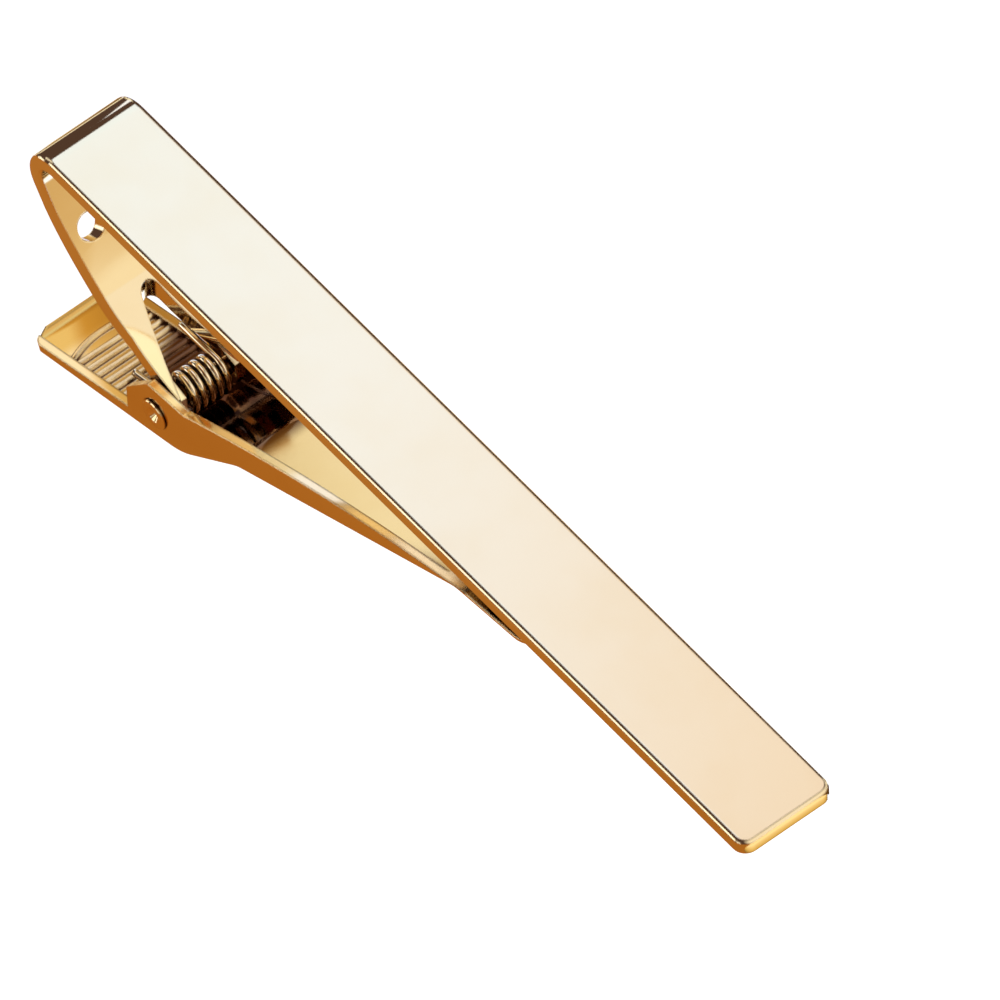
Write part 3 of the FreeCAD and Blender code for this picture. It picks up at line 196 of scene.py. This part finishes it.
def platedMaterial(finish):
    material, tree, output = newMaterial(finish["name"])
    plating = addNode(tree, "ShaderNodeGroup", node_tree=platingGroup)
    plating.inputs["Tint"].default_value = (*finish["tint"], 1.0)
    plating.inputs["Deep Tint"].default_value = (*finish["deepTint"], 1.0)
    plating.inputs["Painted Shade Tint"].default_value = (*finish["paintedShadeTint"], 1.0)
    plating.inputs["Crevice Reach"].default_value = finish["creviceReach"] * mm
    plating.inputs["Pocket Reach"].default_value = finish["pocketReach"] * mm
    plating.inputs["Haze"].default_value = finish["haze"]
    plating.inputs["Wave"].default_value = finish["wave"]
    edges = addNode(tree, "ShaderNodeBevel", samples=4)  # sharp edges catch a thin line of light
    edges.inputs["Radius"].default_value = finish["edge"] * mm
    bump = addNode(tree, "ShaderNodeBump")
    bump.inputs["Strength"].default_value = platingLook["bumpStrength"]
    bump.inputs["Distance"].default_value = platingLook["bumpDepth"] * mm
    tree.links.new(edges.outputs["Normal"], bump.inputs["Normal"])
    skin = addNode(tree, "ShaderNodeBsdfPrincipled")
    skin.inputs["Metallic"].default_value = 1.0
    colour = plating.outputs["Base Color"]
    # painted shade marks darken the colour over their masks
    for shadeMark in finish["shadeMarks"]:
        colour = addPaintedShade(tree, colour, shadeMark)
    tree.links.new(colour, skin.inputs["Base Color"])
    tree.links.new(plating.outputs["Roughness"], skin.inputs["Roughness"])
    tree.links.new(plating.outputs["Height"], bump.inputs["Height"])
    tree.links.new(bump.outputs["Normal"], skin.inputs["Normal"])
    tree.links.new(skin.outputs["BSDF"], output.inputs["Surface"])
    return material


def dress(node, material):
    mesh = nodes[node].data
    for number in range(len(mesh.materials)):
        mesh.materials[number] = material


# Each finish gives the colour and the reach in mm of the painted shade in its crevices and pockets.
barFinish = {"name": "barPlating", "tint": (0.96, 0.79, 0.50), "deepTint": (0.92, 0.70, 0.38),
             "paintedShadeTint": (0.30, 0.13, 0.05), "creviceReach": 0.2, "pocketReach": 0.6,
             "haze": 0.05, "wave": 0.2, "edge": 0.14, "shadeMarks": []}
dress("folded_bar", platedMaterial(barFinish))

# Painted shade on the jaw: near-black brown in the pocket round the rivet, deeper gold on the tab's end.
pocketShadeMark = {"node": "clip_jaw", "start": -4.8, "end": 8.0, "soft": 0.8, "slant": 0.64, "halfWidth": 2.45,
               "leastRise": 0.2, "tint": (0.12, 0.036, 0.014), "amount": 0.93}
tabShadeMark = {"node": "clip_jaw", "start": -14, "end": -9.2, "soft": 0.8, "slant": 0, "halfWidth": 2.45,
            "leastRise": 0.2, "tint": (0.74, 0.42, 0.07), "amount": 0.85}
jawFinish = {"name": "jawPlating", "tint": (0.95, 0.73, 0.40), "deepTint": (0.88, 0.62, 0.28),
             "paintedShadeTint": (0.12, 0.04, 0.015), "creviceReach": 0.35, "pocketReach": 3.6,
             "haze": 0.08, "wave": 0.4, "edge": 0.18,
             "shadeMarks": [pocketShadeMark, tabShadeMark]}
dress("clip_jaw", platedMaterial(jawFinish))

pinFinish = {"name": "rivetPlating", "tint": (0.93, 0.70, 0.38), "deepTint": (0.82, 0.54, 0.24),
             "paintedShadeTint": (0.12, 0.04, 0.015), "creviceReach": 0.3, "pocketReach": 0.8,
             "haze": 0.12, "wave": 0.4, "edge": 0.06, "shadeMarks": []}
dress("hinge_pin", platedMaterial(pinFinish))

springFinish = {"name": "springPlating", "tint": (0.97, 0.83, 0.58), "deepTint": (0.88, 0.66, 0.36),
                "paintedShadeTint": (0.10, 0.03, 0.012), "creviceReach": 0.3, "pocketReach": 1.3,
                "haze": 0.07, "wave": 0.3, "edge": 0.02, "shadeMarks": []}
springMaterial = platedMaterial(springFinish)
dress("torsion_spring", springMaterial)
print("plating set on the four pieces")

# Wound spring: its wire is a little finer than in the solid and its turns closer and more, between arms that
# lie in nearly the same places.
spring = {"radius": 1.05, "wire": 0.42, "pitch": 0.52, "turns": 4, "blendTurns": 2.2,
          "upperEnd": (-2.576, 1.815), "lowerReach": 4.6, "sides": 20, "armSteps": 24, "turnStep": 7.5}


def springLine():
    cx, cz = rivet.x / mm, rivet.z / mm
    radius, armSteps = spring["radius"], spring["armSteps"]
    endX, endZ = cx + spring["upperEnd"][0], cz + spring["upperEnd"][1]
    dx, dz = cx - endX, cz - endZ
    span = math.hypot(dx, dz)
    first = math.atan2(dz, dx) + math.asin(radius / span) + math.pi / 2
    sweep = first + math.pi / 2 + 2 * math.pi * spring["turns"]
    width = spring["pitch"] * sweep / (2 * math.pi)
    points = []
    topX, topZ = cx + radius * math.cos(first), cz + radius * math.sin(first)
    for step in range(armSteps):
        share = step / armSteps
        points.append((endX + (topX - endX) * share, width / 2, endZ + (topZ - endZ) * share))
    turnSteps = int(sweep / math.radians(spring["turnStep"]))
    for step in range(turnSteps + 1):
        share = step / turnSteps
        angle = first - sweep * share
        points.append((cx + radius * math.cos(angle), width / 2 - width * share,
                       cz + radius * math.sin(angle)))
    for step in range(1, armSteps + 1):
        points.append((cx - spring["lowerReach"] * step / armSteps, -width / 2, cz - radius))
    return [Vector(point) * mm for point in points]


def makeTube(name, line, radius, sides):
    # A round tube along a line, its section carried on without twist, closed by a flat cap at each end.
    verts, faces = [], []
    side = Vector((0, 1, 0))
    for number, point in enumerate(line):
        before, after = line[max(number - 1, 0)], line[min(number + 1, len(line) - 1)]
        ahead = (after - before).normalized()
        side = (side - ahead * side.dot(ahead)).normalized()
        across = ahead.cross(side)
        for turn in range(sides):
            angle = 2 * math.pi * turn / sides
            verts.append(point + (side * math.cos(angle) + across * math.sin(angle)) * radius)
    for ring in range(len(line) - 1):
        for turn in range(sides):
            one, two = ring * sides + turn, ring * sides + (turn + 1) % sides
            faces.append((one, two, two + sides, one + sides))
    faces.append(tuple(reversed(range(sides))))
    last = (len(line) - 1) * sides
    faces.append(tuple(range(last, last + sides)))
    mesh = bpy.data.meshes.new(name)
    mesh.from_pydata(verts, [], faces)
    for face in mesh.polygons:
        face.use_smooth = len(face.vertices) == 4
    tube = bpy.data.objects.new(name, mesh)
    bpy.context.scene.collection.objects.link(tube)
    return tube


woundSpring = makeTube("woundSpring", springLine(), spring["wire"] / 2 * mm, spring["sides"])
woundSpring.data.materials.append(springMaterial)
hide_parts("torsion_spring")
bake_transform(woundSpring)
print("spring wound")

# Floor: pale, and low enough for the open jaw, which swings below the level that the clip lies on.
floorLook = {"name": "paleFloor", "drop": 32, "span": 3000, "glow": 0.8, "grainScale": 900.0,
             "grain": [(0.3, (0.90, 0.90, 0.90)), (0.7, (0.93, 0.93, 0.93))]}


def addPlane(name, span, height, material):
    bpy.ops.mesh.primitive_plane_add(size=span * mm, location=(0, 0, height * mm))
    plane = bpy.context.object
    plane.name = name
    plane.data.materials.append(material)
    return plane


def makeFloor():
    material, tree, output = newMaterial(floorLook["name"])
    paper = addNode(tree, "ShaderNodeTexNoise", Scale=floorLook["grainScale"], Detail=2.0)
    place = addNode(tree, "ShaderNodeTexCoord")
    tree.links.new(place.outputs["Object"], paper.inputs["Vector"])
    grain = addRamp(tree, paper.outputs["Fac"], floorLook["grain"])
    matt = addNode(tree, "ShaderNodeBsdfDiffuse")
    tree.links.new(grain.outputs["Color"], matt.inputs["Color"])
    glow = addNode(tree, "ShaderNodeEmission")
    glow.inputs["Strength"].default_value = floorLook["glow"]
    both = addNode(tree, "ShaderNodeAddShader")
    tree.links.new(matt.outputs["BSDF"], both.inputs[0])
    tree.links.new(glow.outputs["Emission"], both.inputs[1])
    tree.links.new(both.outputs["Shader"], output.inputs["Surface"])
    floor = addPlane("floor", floorLook["span"], -floorLook["drop"], material)
    floor.visible_glossy = False


# Table: only mirrored in the polished metal, at the level that the clip lies on. It is warm and dark on the
# near side of the clip and bright on the far side.
tableLook = {"name": "warmTable", "span": 3000, "nearSide": -10, "farSide": 110,
             "mirrored": [(0.0, (0.46, 0.19, 0.04)), (0.05, (0.42, 0.16, 0.025)),
                          (0.09, (0.46, 0.19, 0.04)), (0.112, (1.2, 1.45, 2.0)),
                          (0.16, (1.2, 1.45, 2.0)), (0.20, (0.70, 0.49, 0.24)),
                          (0.33, (0.80, 0.62, 0.36)), (0.60, (1.0, 0.92, 0.75))]}


def makeTable():
    material, tree, output = newMaterial(tableLook["name"])
    place = addNode(tree, "ShaderNodeTexCoord")
    split = addNode(tree, "ShaderNodeSeparateXYZ")
    tree.links.new(place.outputs["Object"], split.inputs["Vector"])
    across = addNode(tree, "ShaderNodeMapRange")
    across.inputs["From Min"].default_value = tableLook["nearSide"] * mm
    across.inputs["From Max"].default_value = tableLook["farSide"] * mm
    tree.links.new(split.outputs["Y"], across.inputs["Value"])
    warm = addRamp(tree, across.outputs["Result"], tableLook["mirrored"])
    glow = addNode(tree, "ShaderNodeEmission")
    tree.links.new(warm.outputs["Color"], glow.inputs["Color"])
    tree.links.new(glow.outputs["Emission"], output.inputs["Surface"])
    # the low one, just over the floor, is for the open jaw
    for name, height in (("table", 0), ("lowTable", 1 - floorLook["drop"])):
        table = addPlane(name, tableLook["span"], height, material)
        table.visible_camera = False
        table.visible_diffuse = False
        table.visible_shadow = False


makeFloor()
makeTable()

# Softboxes: glowing cards out of sight, in mm. Each lies at a distance from a place, towards one side, may
# spin on its middle, and fades along its width.
def even(*colour):
    return [(0.0, colour), (1.0, colour)]


flat = (0, -0.001, 1)  # lies on the table, its width along the clip
cards = {
    # broad cards round the clip
    "topCard": {"from": (0, 0, 0), "toward": (-0.217, 0.344, 0.914), "distance": 600, "size": (340, 340),
                "fade": [(0.40, (0.95, 0.895, 0.956)), (0.51, (0.975, 1.124, 1.566)),
                         (0.62, (0.950, 1.165, 1.66))], "strength": 1.0},
    "sideCard": {"from": (0, 0, 0), "toward": (-0.354, -0.81, 0.467), "distance": 500, "size": (240, 240),
                 "fade": even(1, 1, 1), "strength": 1.8},
    "rimCard": {"from": (0, 0, 0), "toward": (-0.855, -0.483, 0.171), "distance": 400, "size": (150, 110),
                "fade": even(1, 1, 1), "strength": 1.8},
    "farCard": {"from": (0, 0, 0), "toward": (0.12, 0.92, 0.37), "distance": 600, "size": (500, 320),
                "fade": even(1, 0.98, 0.95), "strength": 0.9},
    "leftCard": {"from": (0, 0, 0), "toward": (-0.62, -0.08, 0.78), "distance": 600, "size": (220, 260),
                 "fade": even(1, 0.98, 0.95), "strength": 0.9},
    "nearCard": {"from": (0, 0, 0), "toward": (0.20, -0.93, 0.32), "distance": 600, "size": (280, 300),
                 "fade": even(1, 0.98, 0.95), "strength": 0.9},
    # dark flags for the lines along the edges and the band over the bend
    "farFlag": {"from": (0, 0, 0), "toward": (-0.5, 0.85, 0.0), "distance": 130, "size": (160, 90),
                "fade": even(0.05, 0.03, 0.02), "strength": 1.0},
    "leftFlag": {"from": (-86, 36, 0.02), "toward": flat, "distance": 0, "size": (112, 76),
                 "fade": even(0.1, 0.06, 0.05), "strength": 1.0},
    # small cards for the jaw's trough, rim and tab
    "troughCard": {"from": (-5, 0, 4), "toward": (-51, 22.5, 24), "distance": 60, "size": (12, 22),
                   "fade": [(0.2, (1.05, 1.08, 1.05)), (1.0, (0.85, 0.82, 0.68))], "strength": 1.0},
    "rimStrip": {"from": (-52.9, 17.6, 36.6), "toward": (-51, 22.5, 24), "distance": 0, "size": (5.6, 7.4),
                 "fade": even(1.05, 1.2, 1.7), "strength": 1.0},
    "rimLight": {"from": (-94.3, 34.4, 0.04), "toward": flat, "distance": 0, "size": (112, 4),
                 "spin": -20.9, "fade": even(1.15, 1.35, 2.2), "strength": 1.0},
    "tabCard": {"from": (-27, 0, 1), "toward": (-11, 5, 8.5), "distance": 14.8, "size": (11, 10),
                "fade": [(0.3, (0.45, 0.26, 0.07)), (0.6, (0.8, 0.58, 0.25)), (0.68, (1.1, 1.1, 1.1))],
                "strength": 1.0},
    # small cards under the bar's free end
    "endCard": {"from": (33.3, 0, 0.01), "toward": flat, "distance": 0, "size": (5, 6),
                "fade": [(0.0, (0.25, 0.13, 0.03)), (0.04, (0.8, 0.55, 0.18)), (0.1, (1.2, 1.0, 0.6))],
                "strength": 1.0},
    "cornerCard": {"from": (39, 6.2, 0.015), "toward": flat, "distance": 0, "size": (18, 6.4),
                   "fade": [(0.0, (0.06, 0.03, 0.01)), (0.15, (0.2, 0.1, 0.03)), (0.6, (0.95, 0.75, 0.4))],
                   "strength": 1.0},
}


def makeCard(name, look):
    direction = Vector(look["toward"]).normalized()
    bpy.ops.mesh.primitive_plane_add(size=1.0)
    card = bpy.context.object
    card.name = name
    width, height = look["size"]
    card.scale = (width * mm, height * mm, 1)
    card.location = (Vector(look["from"]) + direction * look["distance"]) * mm
    spin = Quaternion((0, 0, 1), math.radians(look.get("spin", 0)))
    card.rotation_euler = (direction.to_track_quat("Z", "Y") @ spin).to_euler()
    card.visible_camera = False
    card.visible_shadow = False
    material, tree, output = newMaterial(name)
    place = addNode(tree, "ShaderNodeTexCoord")
    split = addNode(tree, "ShaderNodeSeparateXYZ")
    tree.links.new(place.outputs["Generated"], split.inputs["Vector"])
    fade = addRamp(tree, split.outputs["X"], look["fade"])
    glow = addNode(tree, "ShaderNodeEmission")
    glow.inputs["Strength"].default_value = look["strength"]
    tree.links.new(fade.outputs["Color"], glow.inputs["Color"])
    tree.links.new(glow.outputs["Emission"], output.inputs["Surface"])
    card.data.materials.append(material)


for name, look in cards.items():
    makeCard(name, look)
print("floor and softboxes placed")

# Room: dim, with one broad soft window high on the far right.
room = {"window": (0.80, 0.35, 0.45), "light": [(0.60, (0.085, 0.052, 0.045)), (0.90, (1.0, 0.96, 0.90))]}


def makeWorld():
    world = bpy.data.worlds.new("studio")
    bpy.context.scene.world = world
    world.use_nodes = True
    tree = world.node_tree
    tree.nodes.clear()
    output = addNode(tree, "ShaderNodeOutputWorld")
    place = addNode(tree, "ShaderNodeTexCoord")
    facing = addNode(tree, "ShaderNodeVectorMath", operation="DOT_PRODUCT")
    facing.inputs[1].default_value = Vector(room["window"]).normalized()
    tree.links.new(place.outputs["Generated"], facing.inputs[0])
    light = addRamp(tree, facing.outputs["Value"], room["light"])
    lit = addNode(tree, "ShaderNodeBackground")
    tree.links.new(light.outputs["Color"], lit.inputs["Color"])
    plain = addNode(tree, "ShaderNodeBackground")
    plain.inputs["Color"].default_value = (1, 1, 1, 1)
    path = addNode(tree, "ShaderNodeLightPath")
    choose = addNode(tree, "ShaderNodeMixShader")
    tree.links.new(path.outputs["Is Camera Ray"], choose.inputs["Fac"])
    tree.links.new(lit.outputs["Background"], choose.inputs[1])
    tree.links.new(plain.outputs["Background"], choose.inputs[2])
    tree.links.new(choose.outputs["Shader"], output.inputs["Surface"])


makeWorld()

# Camera: a long lens from the angle of the picture, in degrees, aimed at a place told in mm from the rivet.
shot = {"azimuth": 63.519, "elevation": 39.495, "roll": -16.453, "target": (23.819, 2.658, 3.549),
        "width": 50.673, "distance": 2.0, "sensor": 36.0, "reach": 20.0}


def makeCamera():
    turn, rise = math.radians(shot["azimuth"]), math.radians(shot["elevation"])
    back = Vector((math.sin(turn) * math.cos(rise), -math.cos(turn) * math.cos(rise), math.sin(rise)))
    data = bpy.data.cameras.new("camera")
    data.sensor_width = shot["sensor"]
    data.lens = shot["sensor"] * shot["distance"] / (shot["width"] * mm)
    data.clip_end = shot["reach"]
    camera = bpy.data.objects.new("camera", data)
    bpy.context.scene.collection.objects.link(camera)
    camera.location = rivet + Vector(shot["target"]) * mm + back * shot["distance"]
    camera.rotation_euler = back.to_track_quat("Z", "Y").to_euler()
    camera.rotation_euler.rotate_axis("Z", math.radians(shot["roll"]))
    bpy.context.scene.camera = camera


makeCamera()
bpy.context.scene.view_settings.view_transform = "Standard"
print("camera set")
